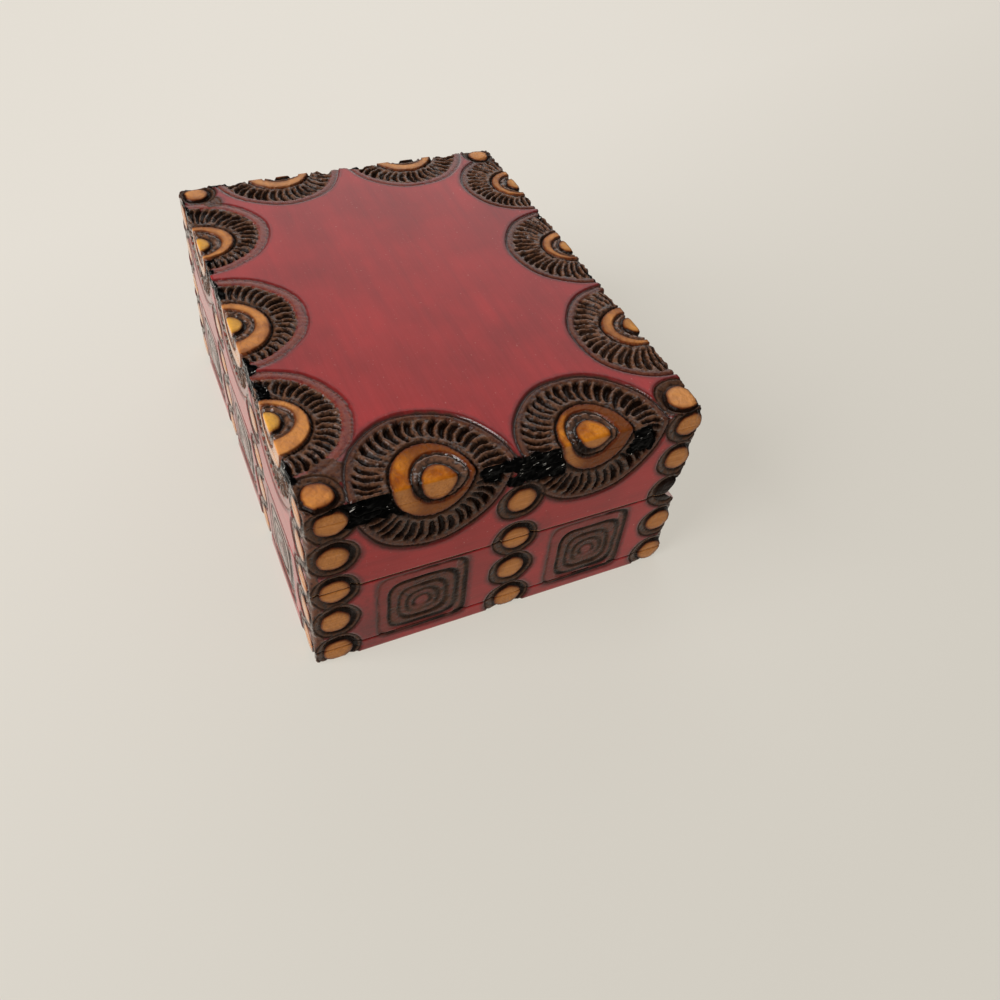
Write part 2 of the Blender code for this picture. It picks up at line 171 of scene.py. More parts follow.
def cutGouges(drawn, seed, along, across, fan, stroke):
    # Gouges lean, are wider and rounder at their outer ends, and each is a little different
    look = gougeLook
    count = look["count"]
    turns = fan * count / (2 * math.pi) + look["lean"] * (stroke - 0.5) ** 2
    cell = np.floor(turns).astype(int)
    offset, ending, starting, breadth = drawn.uniform(-1, 1, (4, 2 * count))[:, cell % (2 * count)]
    aside = turns - cell - 0.5 - look["sideVaries"] * offset
    waver = blotch(stroke * look["waverAlong"], turns * look["waverAround"], 1.0, seed + 3)
    aside = aside + look["waver"] * waver
    finish = 1.0 + look["endVaries"] * ending
    begin = look["start"] + look["startVaries"] * starting
    width = look["halfWidth"] + look["widening"] * np.clip(stroke, 0, 1)
    width = width * (1 + look["widthVaries"] * breadth)
    rounding = np.clip((stroke - look["roundFrom"]) / (finish - look["roundFrom"]), 0, 1)
    width = width * np.sqrt(np.clip(1 - rounding ** look["roundPower"], 0.0001, 1))
    aside = aside / width
    bowl = np.clip(1 - aside ** 2, 0, 1) ** look["bowlPower"] * (1 + look["bowlLean"] * aside)
    bowl = bowl * smooth(begin, begin + look["startFade"], stroke)
    bowl = bowl * (1 - smooth(finish - look["endFade"], finish, stroke))
    ridge = look["ridgeDepth"] * (look["ridgeShare"] + swell(stroke, *look["ridgeEnd"]))
    ridge = ridge + look["ridgeWear"] * np.maximum(blotch(along, across, look["wearSize"], seed + 6), 0)
    deep = look["depth"] * (1 + look["depthVaries"] * ending)
    return ridge + deep * bowl * (look["innerShare"] + (1 - look["innerShare"]) * stroke), bowl


# A swell is its strength, place and half width; a ring's depth is from, to and power; a bead's
# top is its depth, drop and roundness; burn at a ring's foot is how black, from and to
rosetteLook = {
    "margin": 2.0, "wobble": 0.009,
    "outlineAt": 0.22, "outlineWidth": 0.42, "outlineBurn": 0.5, "outlinePolish": 0.6, "outlineFull": 0.4,
    "rimFrom": 0.5, "rimDepth": 0.13, "rimRound": 0.9, "fanShift": 0.4,
    "ridgeChar": 0.13, "bowlChar": 0.85, "collarEndChar": 0.3, "sideChar": 0.22,
    "collarWidth": 0.55, "collarShadowWidening": 0.30, "collarFrom": 0.14, "collarDepth": 0.60, "collarAt": 0.2,
    "collarChar": 0.35, "collarBurn": 0.8, "collarBurnAt": 0.15, "discDepth": 0.07,
    "ringDepth": (0.16, 0.90, 2.2), "line": (0.42, 0.2, 0.4), "beadTop": (0.02, 0.10, 1.0),
    "wallWidth": 0.32, "ringChar": 0.12, "lineChar": (0.9, 0.12, 0.30), "footChar": (0.95, 0.5, 0.9),
    "sootTurn": 3.9, "sootChar": 0.8, "chatter": 0.15, "chatterSize": 0.9,
    "waver": 0.12, "waverSize": 1.3, "toastFrom": 0.15, "toastAcross": (0.12, 0.42),
}

# Each side was cut and burnt a little differently: how deep its outline is, how wide its rim,
# how burnt each part, how golden, toasted, pale and burnished its clear wood, and how far its
# rosettes' middles lie below the edge
rosetteSides = {
    "front": dict(outline=0.16, rim=1.7, rimScorch=0.52, rimChar=0.06, gougeChar=0.0, ringChar=-0.40,
                  smokeAndPaintedShade=0.32, gold=1.0, toast=0.0, blush=0.40, polish=0.3, sunk=0.0),
    "back": dict(outline=0.40, rim=1.1, rimScorch=0.84, rimChar=0.32, gougeChar=-0.14, ringChar=-0.20,
                 smokeAndPaintedShade=0.0, gold=0.35, toast=0.25, blush=0.40, polish=0.4, sunk=0.0),
    "right": dict(outline=0.50, rim=1.05, rimScorch=0.94, rimChar=0.42, gougeChar=0.03, ringChar=0.0,
                  smokeAndPaintedShade=0.0, gold=0.06, toast=0.80, blush=0.0, polish=1.0, sunk=0.0),
    "left": dict(outline=0.30, rim=1.3, rimScorch=0.60, rimChar=0.20, gougeChar=-0.08, ringChar=-0.15,
                 smokeAndPaintedShade=0.2, gold=0.5, toast=0.0, blush=0.60, polish=0.6, sunk=2.6),
}

# Middle and half spread along the edge, and reach on the top and down the side. Bead, ring and
# disc each run from and to a place along the edge, with their own reach, and some stand a
# little in on the top. One ends with its own toast.
rosetteParts = ("middle", "spread", "top", "side", "bead", "ring", "disc", "toast")
rosettes = {
    "front": [
        (-30.0, 13.6, 15.2, 15.0, (-29.8, -25.0, 2.4), (-32.4, -23.4, 4.9), (-34.1, -22.0, 7.4)),
        (0.0, 14.4, 14.9, 15.0, (-2.1, 3.1, 2.6), (-4.3, 5.5, 4.8), (-6.3, 9.4, 7.4)),
        (29.2, 14.4, 14.4, 15.0, (25.4, 30.6, 2.6), (23.7, 32.3, 4.8), (22.3, 36.4, 7.1)),
    ],
    "back": [
        (-33.6, 12.4, 12.9, 13.0, (-35.0, -30.4, 2.2), (-36.6, -28.6, 4.0), (-38.4, -27.4, 5.7)),
        (-5.6, 14.3, 13.6, 14.0, (-7.4, -3.0, 2.2), (-8.9, -1.2, 3.9), (-10.9, -0.2, 5.7)),
        (24.8, 14.8, 14.3, 14.0, (21.4, 26.2, 2.4), (19.8, 28.6, 4.6), (17.9, 29.9, 7.0)),
    ],
    "right": [
        (-15.3, 14.8, 16.7, 16.3,
            (-17.6, -11.4, 4.3, -0.6), (-19.3, -9.1, 6.0, 0.3), (-22.6, -8.2, 8.7, 0.2)),
        (15.3, 14.8, 16.6, 15.7,
            (11.7, 17.7, 3.7, 1.1), (9.8, 19.3, 5.95, 1.25), (8.1, 22.1, 8.3, 0.5), 0.95),
    ],
    "left": [
        (-15.0, 14.6, 15.0, 15.0, (-17.0, -11.2, 3.0), (-19.4, -9.8, 5.0), (-22.4, -7.6, 7.6)),
        (15.6, 14.6, 15.0, 15.0, (13.0, 18.8, 3.0), (11.0, 20.6, 5.0), (8.2, 22.6, 7.6)),
    ],
}


def pressRosette(field, along, across, side, rosette, seed):
    look = rosetteLook
    own = {**rosetteSides[side], **dict(zip(rosetteParts, rosette))}
    middle, wide = own["middle"], own["spread"]
    across = across + own["sunk"]
    far = max(own["top"], own["side"]) + look["margin"]
    near = (np.abs(along - middle) < wide + look["margin"]) & (np.abs(across) < far)
    along, across = along[near], across[near]
    drawn = np.random.default_rng(seed)
    phase = drawn.uniform(0, 2 * math.pi, 3)
    reach = np.where(across >= 0, own["top"], own["side"])
    away = (along - middle) / wide
    turn = np.arctan2(across / reach, away)
    wave = np.sin(3 * turn + phase[0]) + 0.6 * np.sin(8 * turn + phase[1])
    share = np.hypot(away, across / reach) * (1 + look["wobble"] * wave)
    inside = (1 - share) * (wide + own["top"]) / 2
    disc, ring, bead = (insideOval(along, across, own[part]) for part in ("disc", "ring", "bead"))

    # Rim: a rounded band between the outline and the gouges
    rimHalf = own["rim"] / 2
    rimEnd = look["rimFrom"] + 2 * rimHalf
    crown = (inside - look["rimFrom"] - rimHalf) / rimHalf
    rim = look["rimDepth"] * (1 + look["rimRound"] * crown * crown)
    outline = swell(inside, own["outline"], look["outlineAt"], look["outlineWidth"])
    burn = min(1, own["outline"] / look["outlineFull"])
    outlineChar = swell(inside, burn, look["outlineAt"], look["outlineBurn"])

    # The fan of gouges opens from a point between the rosette's middle and the disc's
    discStart, discEnd = own["disc"][:2]
    fanMiddle = middle * (1 - look["fanShift"]) + (discStart + discEnd) / 2 * look["fanShift"]
    outOfDisc = -disc - look["collarWidth"]
    stroke = outOfDisc / np.maximum(outOfDisc + inside - rimEnd, 0.05)
    fan = np.arctan2(across, along - fanMiddle)
    gouged, bowl = cutGouges(drawn, seed, along, across, fan, stroke)
    gougeChar = look["ridgeChar"] + look["bowlChar"] * smooth(0.04, 0.50, bowl)
    gougeChar = gougeChar + look["collarEndChar"] * (1 - smooth(0, 0.6, outOfDisc))
    gougeChar = gougeChar + own["gougeChar"] + look["sideChar"] * smooth(0, 2, -across)

    # Collar round the amber disc, cut wider and painted darker on the side where along is larger: the wider
    # cut is real, the darker band is painted shadow cast by the raised disc
    lean = look["collarShadowWidening"] * (1 + np.clip(np.cos(turn), 0, 1))
    collar = look["collarFrom"] + swell(-disc, look["collarDepth"], look["collarAt"], lean + 0.1)
    collarChar = swell(-disc, look["collarBurn"], look["collarBurnAt"], lean + 0.25) + look["collarChar"]

    # The ring round the bead, blacker towards the soot or browner all over
    ringed, ringChar, slope = sinkRing(look, ring, bead)
    ringChar = ringChar + own["ringChar"] * (1 - slope)
    if own["ringChar"] == 0:
        beadTurn = np.arctan2(across, along - sum(own["bead"][:2]) / 2)
        ringChar = ringChar + look["sootChar"] * np.clip(np.cos(beadTurn - look["sootTurn"]), 0, 1) ** 2

    zones = [ring > 0, disc > 0, outOfDisc < 0, inside > rimEnd, inside > look["rimFrom"]]
    rimChar = np.maximum(own["rimChar"], outlineChar)
    discDepth = np.full_like(disc, look["discDepth"])
    depth = np.select(zones, [ringed, discDepth, collar, gouged, np.maximum(rim, outline)], outline)
    char = np.select(zones, [ringChar, 0 * disc, collarChar, gougeChar, rimChar], outlineChar)
    # Chatter of the tool over everything burnt, and a wavering edge round the clear wood
    size = look["chatterSize"]
    rough = blotch(along, across, size, seed + 7) + 0.6 * blotch(along, across, size / 2, seed + 8)
    amber = np.maximum(bead, np.minimum(disc, -ring))
    chattered = look["chatter"] * smooth(-0.3, 0.5, inside - rimEnd) * (amber < 0)
    depth = depth + chattered * np.maximum(rough, -0.8)
    waver = look["waver"] * blotch(along, across, look["waverSize"], seed + 9)
    scorch = np.where(inside > rimEnd, 1.0, own["rimScorch"])
    # Varnish lies browner over the disc away from where the tool began
    acrossDisc = smooth(*look["toastAcross"], (along - discStart) / (discEnd - discStart))
    toast = own["toast"] * (look["toastFrom"] + (1 - look["toastFrom"]) * acrossDisc)
    # On the top the tool slid over the ring and the outline and left them burnished
    polish = smooth(-0.2, 0.1, ring) * (1 - smooth(0.75, 0.98, slope)) * (bead < 0)
    polish = np.maximum(polish, swell(inside, 1, look["outlineAt"], look["outlinePolish"]))
    press(field, near, {
        "depth": np.maximum(depth, 0),
        "amberEdge": amber + waver,
        "burnEdge": inside + waver - own["smokeAndPaintedShade"],
        "scorch": scorch * (inside > slack),
        "char": np.clip(char, 0, 1),
        "gold": own["gold"] * (bead > slack),
        "toast": toast * ((disc > slack) & (ring < 0)),
        "blush": own["blush"] * (disc > slack),
        "polish": own["polish"] * polish * smooth(-0.6, 0.6, across),
    })


beadLook = {
    "margin": 1.5, "bead": 2.85, "ring": 4.75, "shift": 0.22, "tilt": 0.38, "tiltTurn": 0.35,
    "ringDepth": (0.12, 0.80, 1.4), "line": (0.20, 0.15, 0.28), "beadTop": (0.02, 0.12, 1.1),
    "wallWidth": 0.32, "ringChar": 0.42, "lineChar": (0.45, 0.15, 0.32), "footChar": (1.1, 0.40, 0.85),
    "chatter": 0.06, "amberWaver": 0.08, "burnWaver": 0.10,
}

# Columns of beads down each side: place along it and the drops of the beads
cornerDrops = (4.2, 12.8, 22.2, 31.0, 40.2)
middleDrops = (12.0, 22.0, 31.0, 40.1)
beadColumns = {
    "front": [(-45.3, cornerDrops), (-15.2, middleDrops), (14.2, middleDrops), (45.2, cornerDrops)],
    "back": [(-45.3, cornerDrops), (-19.4, middleDrops), (9.4, middleDrops), (45.2, cornerDrops)],
    "right": [
        (-33.0, (4.2, 12.8, 22.3, 31.0, 40.2)), (1.4, (11.6, 22.0, 31.0, 40.1)),
        (34.6, (3.0, 12.0, 21.0, 30.3, 39.8)),
    ],
    "left": [
        (-34.0, (3.4, 12.4, 21.8, 30.8, 40.0)), (0.3, (13.4, 22.0, 31.0, 40.1)),
        (33.4, (4.0, 12.6, 22.0, 31.0, 40.1)),
    ],
}
burntBeads = {("right", 2, 2)}  # side, column and row of a bead that was burnt over
# Beads at the top's corners: how far right and back, radius, and how pale the clear wood is
cornerBeads = [
    (46.7, -34.3, 2.8, 0.3), (45.5, 34.7, 3.1, 0.5), (-47.0, -33.8, 2.5, 0.5), (-47.6, 34.1, 2.4, 0.5),
]


def pressBead(field, along, across, middle, drop, size, seed, bare=True, blush=0.0):
    look = beadLook
    drawn = np.random.default_rng(seed)
    reach = look["ring"] * size
    far = reach + look["margin"]
    near = (np.abs(along - middle) < far) & (np.abs(across - drop) < far)
    along, across = along[near] - middle, across[near] - drop
    turn = np.arctan2(across, along)
    phase = drawn.uniform(0, 2 * math.pi, 4)
    waver = 1 + 0.02 * np.sin(2 * turn + phase[0]) + 0.012 * np.sin(5 * turn + phase[1])
    shift = drawn.uniform(-look["shift"], look["shift"], 2)
    ring = reach - np.hypot(along, across) * waver
    bead = look["bead"] * size - np.hypot(along - shift[0], across - shift[1]) * waver
    # The tool was pushed a little to one side, so the ring is deeper there
    tilt = 1 + look["tilt"] * np.cos(turn + look["tiltTurn"] - 0.12 * phase[2])
    sunk, char, _ = sinkRing(look, ring, bead, tilt)
    rough = blotch(along, across, 0.9, seed + 7) * smooth(0.1, 0.6, ring) * (bead < 0)
    depth = np.where(ring > 0, sunk, swell(ring, *look["line"])) + look["chatter"] * rough
    amberEdge = bead + look["amberWaver"] * blotch(along, across, 1.2, seed + 5)
    press(field, near, {
        "depth": np.maximum(depth, 0),
        "amberEdge": amberEdge if bare else channels["amberEdge"],
        "burnEdge": ring + look["burnWaver"] * blotch(along, across, 1.4, seed + 3),
        "scorch": 1.0 * (ring > slack),
        "char": np.clip(char, 0, 1) * (ring > -0.2),
        "blush": blush * (bead > slack),
    })


# Each frame: its share of the whole square, and how square its corners are
squareLook = {
    "frames": ((1.0, 9.0), (0.78, 5.0), (0.56, 3.4), (0.38, 2.6), (0.21, 2.0)),
    "margin": 1.5, "drift": 0.02, "sag": 0.10,
    "lineIn": 0.03, "lineWaver": 0.13, "lineDepth": 0.38, "lineWidth": 0.60,
    "faintFrom": 0.4, "faintShare": 0.6, "bandWidth": 2.5,
    "fillDepth": 0.06, "bandDepth": 0.20, "footDepth": 0.25,
    "outerScorch": 0.34, "innerScorch": 0.84, "heartPale": 0.35, "bandScorch": 0.4,
    "char": 0.46, "lineChar": 0.65, "bandChar": -0.1, "footChar": 0.3,
}
# Nested squares on the base: middle along the side, middle drop, half width, half height
squares = {
    "front": [(-31.0, 31.6, 8.8, 8.8), (-0.9, 31.6, 8.6, 8.8), (29.2, 31.6, 8.6, 8.8)],
    "back": [(-33.2, 33.0, 8.0, 7.2), (-5.0, 33.0, 8.4, 7.2), (26.4, 33.0, 8.6, 7.2)],
    "right": [(-16.6, 31.6, 8.9, 8.9), (17.9, 31.6, 8.5, 8.9)],
    "left": [(-16.8, 31.6, 8.8, 8.9), (17.0, 31.6, 8.8, 8.9)],
}


def pressSquare(field, along, across, square, seed):
    look = squareLook
    middle, drop, halfAcross, halfDown = square
    near = np.abs(along - middle) < halfAcross + look["margin"]
    near &= np.abs(across - drop) < halfDown + look["margin"]
    along = (along[near] - middle) / halfAcross
    across = (across[near] - drop) / halfDown
    drawn = np.random.default_rng(seed)
    size = (halfAcross + halfDown) / 2
    inMmAlong, inMmAcross = along * size, across * size
    depth = np.zeros_like(along)
    lines = np.zeros_like(along)
    reaches = []
    for order, (share, power) in enumerate(look["frames"]):
        # The tool drifts, so each inner frame sits a little lower and to one side
        sideways, down = drawn.uniform(-look["drift"], look["drift"]), look["sag"] * (1 - share)
        reach = (np.abs(along - sideways) ** power + np.abs(across - down) ** power) ** (1 / power)
        waver = look["lineWaver"] * blotch(inMmAlong, inMmAcross, 2.2, seed + 10 + order)
        line = (share - look["lineIn"] - reach) * size + waver
        # The inner frames fade towards their feet, and the outer one on its left
        faint = share <= look["faintFrom"]
        fade = np.clip(1.4 - (across - down) / share * 1.4, 0, 1) if faint else 1.0
        if share == 1:
            fade = fade * (0.45 + 0.55 * smooth(-0.9, 0.5, along + 0.4 * across))
        fade = fade * (0.78 + 0.3 * blotch(inMmAlong, inMmAcross, 1.7, seed + 30))
        # Lines are pressed harder towards the right and the foot
        harder = look["lineWidth"] * (1 + 0.35 * np.clip(along + across, -0.6, 1.2))
        strength = look["lineDepth"] * (look["faintShare"] if faint else 1.0)
        depth = np.maximum(depth, swell(line, strength, 0, harder) * fade)
        burn = 1.0 if order < 2 else look["faintShare"]
        lines = np.maximum(lines, swell(line, burn, 0, harder * 1.2) * fade)
        reaches.append((share - reach) * size)
    outer, second, heart = reaches[0], reaches[1], reaches[-1]
    band = smooth(0, 0.5, (along - 1) * halfAcross + look["bandWidth"]) * (outer > 0)
    # The foot of the square is cut deeper and painted darker: partly a real groove, partly painted shadow
    # along its lower edge
    foot = smooth(0.62, 0.95, across) * (second > -0.6)
    filled = look["fillDepth"] + look["bandDepth"] * band + look["footDepth"] * foot
    fill = look["outerScorch"] + (look["innerScorch"] - look["outerScorch"]) * smooth(-0.3, 0.4, second)
    fill = fill * (1 - look["heartPale"] * smooth(-0.4, 0.7, heart)) + look["bandScorch"] * band
    fill = fill + 0.12 * blotch(inMmAlong, inMmAcross, 1.6, seed + 4)
    char = look["char"] + look["lineChar"] * lines + look["bandChar"] * band + look["footChar"] * foot
    within = outer > slack
    press(field, near, {
        "depth": np.where(outer > 0, np.maximum(depth, filled), depth),
        "burnEdge": outer + 0.1,
        "scorch": np.clip(fill + lines, 0, 1) * within,
        "char": np.clip(char, 0, 1) * within,
    })


# Small burns where the rims of neighbours meet, each with two places and a radius: to the
# right and back on the top, along and down on a side
burnLook = {"margin": 0.8, "ragged": 0.35, "raggedSize": 1.1, "depth": 0.10, "scorch": 0.94, "char": 0.42}
topBurns = [(42.4, -31.0, 3.0), (47.6, 31.0, 2.0), (-43.0, -31.0, 2.0)]
sideBurns = {"right": [(30.6, 2.0, 2.2), (-30.4, 2.6, 2.0)], "left": [(-29.6, 2.4, 2.0)]}
# How far in from the upright corners the wood is scorched
cornerBurns = {"front": 1.2, "back": 1.4, "right": 1.7, "left": 1.4}


def pressBurn(field, inside, seed, along, across):
    # A patch of plain scorch; inside is how far in from its edge each point lies
    look = burnLook
    near = inside > -look["margin"]
    ragged = inside[near] + look["ragged"] * blotch(along[near], across[near], look["raggedSize"], seed)
    within = ragged > slack
    press(field, near, {
        "depth": look["depth"] * smooth(0, 0.5, ragged),
        "burnEdge": ragged,
        "scorch": look["scorch"] * within,
        "char": look["char"] * within,
    })


# Thin patches of painted shade over the stain on the end walls: place along, drop, reach along and down
smokeAndPaintedShade = {"right": [(-26.6, 36.0, 9.0, 17.0), (3.4, 24.0, 7.0, 9.0)], "left": [(-26.0, 34.0, 8.0, 12.0)]}
paintedShadeLook = {"faintest": -1.15, "thickening": 0.8}


def pressPaintedShade(field, along, drop, patches):
    # Each patch lays painted shade over the stain, thickest at its middle
    for place, down, reachAlong, reachDown in patches:
        thin = np.clip(1 - np.hypot((along - place) / reachAlong, (drop - down) / reachDown), 0, 1)
        smoked = np.maximum(field["burnEdge"], paintedShadeLook["faintest"] + paintedShadeLook["thickening"] * thin)
        field["burnEdge"] = np.where(thin > 0, smoked, field["burnEdge"])


# Glossy black scorch where the hot tool dwelt on the edge: from, to, reach on top, reach below
soot = {
    "front": [
        (-46, -38, 0.5, 2.2), (-23, -19, 1.8, 2.6), (-18, -8, 0.8, 3.0), (10, 19, 0.9, 3.4),
        (20, 23, 1.4, 2.0), (36, 43, 0.4, 3.6),
    ],
    "back": [(-24, -18, 0.5, 2.0), (4, 12, 0.5, 2.4)],
    "right": [
        (-32.0, -26.8, -0.8, 6.0), (-27.8, -20.0, -1.8, 6.8), (-7.2, -2.4, -0.6, 5.0), (-3.4, 1.2, 0.4, 3.4),
        (-0.6, 3.6, 0.0, 6.4), (2.6, 8.8, -1.6, 7.0), (22.8, 27.4, -2.6, 7.2),
    ],
    "left": [(-30, -24, 0.4, 2.0), (-4, 4, 0.5, 2.4)],
}
sootLook = {"margin": 2, "waver": 1.2, "crust": 0.34, "lumps": 0.30, "grit": 0.05, "cover": 0.9, "gap": 0.25}


def pressSoot(field, along, across, patches, seed):
    look = sootLook
    for index, (start, end, onTop, below) in enumerate(patches, seed):
        near = (along > start - look["margin"]) & (along < end + look["margin"])
        near &= (across < onTop + look["margin"]) & (across > -below - look["margin"])
        here, over = along[near], across[near]
        waver = look["waver"] * blotch(here, over, 2.6, index) + 0.5 * blotch(here, over, 1.2, index + 40)
        ends = (end - start) / 2 - np.abs(here - (start + end) / 2)
        sides = np.where(over >= 0, onTop - over, below + over)
        patch = np.minimum(np.minimum(ends, sides) + waver, -look["gap"] - field["amberEdge"][near])
        crust = look["crust"] + look["lumps"] * blotch(here, over, 1.5, index + 80)
        crust = crust + look["grit"] * blotch(here, over, 0.6, index + 81)
        covered = look["cover"] * smooth(0, 1.0, patch)
        field["depth"][near] = field["depth"][near] * (1 - covered) + crust * covered
        press(field, near, {"sootEdge": patch})


seamLook = {
    "glue": (0.10, 0, 0.16), "board": (0.34, 0, 0.30), "saw": (0.24, 0, 0.35),
    "boardGrime": (1, 0, 0.22), "sawGrime": (1, 0, 0.24), "grimeEdge": 0.3,
}


def pressSeams(field, side, along, drop):
    # Glue lines, the saw line and the bottom board's seam hold dirt, so they read as dark lines
    look = seamLook
    toBoard, toSaw = drop - (tall - bottomSeam), drop - (tall - sawLevel)
    seam = np.maximum(swell(toBoard, *look["board"]), swell(drop - (tall - topSeam), *look["glue"]))
    if side in ("front", "back"):
        seam = np.maximum(seam, swell(np.abs(along) - endInner, *look["glue"]))
    field["depth"] = np.maximum(field["depth"], seam) + swell(toSaw, *look["saw"])
    grime = np.maximum(swell(toBoard, *look["boardGrime"]), swell(toSaw, *look["sawGrime"]))
    dirty = np.maximum(field["burnEdge"], look["grimeEdge"])
    field["burnEdge"] = np.where(grime > 0.05, dirty, field["burnEdge"])
    field["scorch"] = np.maximum(field["scorch"], grime)
    field["char"] = np.maximum(field["char"], grime)
    field["amberEdge"] = np.where(grime > 0.5, np.minimum(field["amberEdge"], 0.0), field["amberEdge"])


# Edges are worn round; the upright corners also dip between the beads that stand by them
arris = {
    "reach": 0.55, "depth": 0.10, "dipReach": 2.0, "dipDepth": 0.42, "beadPitch": 9.0, "firstBead": 3.8,
    "topShare": 0.6, "chips": 0.35, "chipSize": 1.1,
}


def wear(field, toEdge):
    # Rounds the edges of a face by wear
    field["depth"] += arris["depth"] * np.clip(1 - toEdge / arris["reach"], 0, 1) ** 2


def distanceIn(side, x, y):
    # Where a point lies along one side, and how far in from it
    if side == "front":
        return x, y + halfWide
    if side == "back":
        return x, halfWide - y
    if side == "right":
        return y, halfLong - x
    return y, x + halfLong


def carveTop(x, y):
    field = blankField(len(x))
    for side in rosettes:
        along, across = distanceIn(side, x, y)
        for index, rosette in enumerate(rosettes[side]):
            pressRosette(field, along, across, side, rosette, faceSeeds[side] + index)
    for seed, (right, back, radius, pale) in enumerate(cornerBeads, faceSeeds["topBeads"]):
        pressBead(field, x, y, right, back, radius / beadLook["bead"], seed, blush=pale)
    for seed, (right, back, radius) in enumerate(topBurns, faceSeeds["topBurns"]):
        pressBurn(field, radius - np.hypot(x - right, y - back), seed, x, y)
    for side in rosettes:
        along, across = distanceIn(side, x, y)
        pressSoot(field, along, across, soot[side], faceSeeds[side] + seedSteps["soot"])
    toEdge = np.minimum(halfLong - np.abs(x), halfWide - np.abs(y))
    toVertex = np.hypot(halfLong - np.abs(x), halfWide - np.abs(y))
    dip = arris["topShare"] * arris["dipDepth"]
    wear(field, toEdge)
    field["depth"] += dip * np.clip(1 - toVertex / arris["dipReach"], 0, 1) ** 2
    return field


def carveSide(side, along, drop):
    field = blankField(len(along))
    seeds = {step: faceSeeds[side] + value for step, value in seedSteps.items()}
    for index, rosette in enumerate(rosettes[side]):
        pressRosette(field, along, -drop, side, rosette, faceSeeds[side] + index)
    for index, (middle, drops) in enumerate(beadColumns[side]):
        first = seeds["beads"] + seedSteps["column"] * index
        for row, place in enumerate(drops):
            bare = (side, index, row) not in burntBeads
            pressBead(field, along, drop, middle, place, 1.0, first + row, bare)
    for seed, square in enumerate(squares[side], seeds["squares"]):
        pressSquare(field, along, drop, square, seed)
    half = halfLong if side in ("front", "back") else halfWide
    for place, down, radius in sideBurns.get(side, ()):
        pressBurn(field, radius - np.hypot(along - place, drop - down), seeds["burns"], along, drop)
    pressBurn(field, cornerBurns[side] + np.abs(along) - half, seeds["corners"], along, drop)
    # Painted shade on the end walls' stain
    pressPaintedShade(field, along, drop, smokeAndPaintedShade.get(side, ()))
    pressSoot(field, along, -drop, soot[side], seeds["soot"])
    toEdge = np.minimum(np.minimum(half - np.abs(along), drop), tall - drop)
    beat = 0.5 - 0.5 * np.cos(2 * math.pi * (drop - arris["firstBead"]) / arris["beadPitch"])
    dip = arris["dipDepth"] * np.clip(1 - (half - np.abs(along)) / arris["dipReach"], 0, 1) ** 1.5
    pressSeams(field, side, along, drop)
    wear(field, toEdge)
    chipped = 1 + arris["chips"] * blotch(along, drop, arris["chipSize"], faceSeeds[side])
    field["depth"] += dip * beat * chipped
    # The front was varnished thickly over its burnt and clear parts too
    if side == "front":
        field["varnish"][:] = 1.0
    return field


inward = {"top": (0, 0, -1), "front": (0, 1, 0), "back": (0, -1, 0), "right": (-1, 0, 0), "left": (1, 0, 0)}
edgeBlend = 2.5  # how far in from an edge the carving of the next face still moves points


def carveFace(face, points):
    x, y, z = points.T
    if face == "top":
        return carveTop(x, y)
    return carveSide(face, x if face in ("front", "back") else y, tall - z)


def carvePoints(points):
    # Moves points of the uncarved box in by the carving of every face they lie on or near
    moved = points.copy()
    field = blankField(len(points))
    x, y, z = points.T
    for face, direction in inward.items():
        away = tall - z if face == "top" else distanceIn(face, x, y)[1]
        near = away < edgeBlend
        drawn = carveFace(face, points[near])
        weight = 1 - smooth(0, edgeBlend, away[near])
        moved[near] += np.outer(drawn["depth"] * weight, direction)
        on = away[near] < touching
        index = np.flatnonzero(near)[on]
        for name in channels:
            field[name][index] = np.maximum(field[name][index], drawn[name][on])
    return moved, field


# Meshes of the ten boards, in mm: grids where they may be carved, single faces elsewhere
meshLook = {"cell": 0.25, "block": 10, "sawGap": 0.12, "lidRise": 5.8, "baseRise": 3.2, "onGroove": 0.01}
# A block of the top is plain where no point of it passes any of these
plainLook = {"depth": 0.002, "burnEdge": -2.2, "sootEdge": -1.5}
lidLow = sawLevel + meshLook["sawGap"] / 2
baseHigh = sawLevel - meshLook["sawGap"] / 2
lidBevel = round(sawLevel + meshLook["lidRise"], 3)
baseBevel = round(sawLevel - meshLook["baseRise"], 3)
carvedFace, bareFace, stainedFace = 0, 1, 2  # which of a board's materials a face has


def spread(*stops):
    # Even steps of about one cell between the given stops, each stop kept
    values = [stops[0]]
    for start, end in zip(stops, stops[1:]):
        steps = max(1, round(abs(end - start) / meshLook["cell"]))
        values += [start + (end - start) * (step + 1) / steps for step in range(steps)]
    return np.array(values)


longSteps = spread(-halfLong, -endInner, endInner, halfLong)
wideSteps = spread(-halfWide, pivotY, halfWide)


def newShell():
    return {"points": [], "count": 0, "faces": [], "kinds": []}


def addPoints(shell, points):
    start = shell["count"]
    shell["points"].append(points)
    shell["count"] += len(points)
    return start + np.arange(len(points))


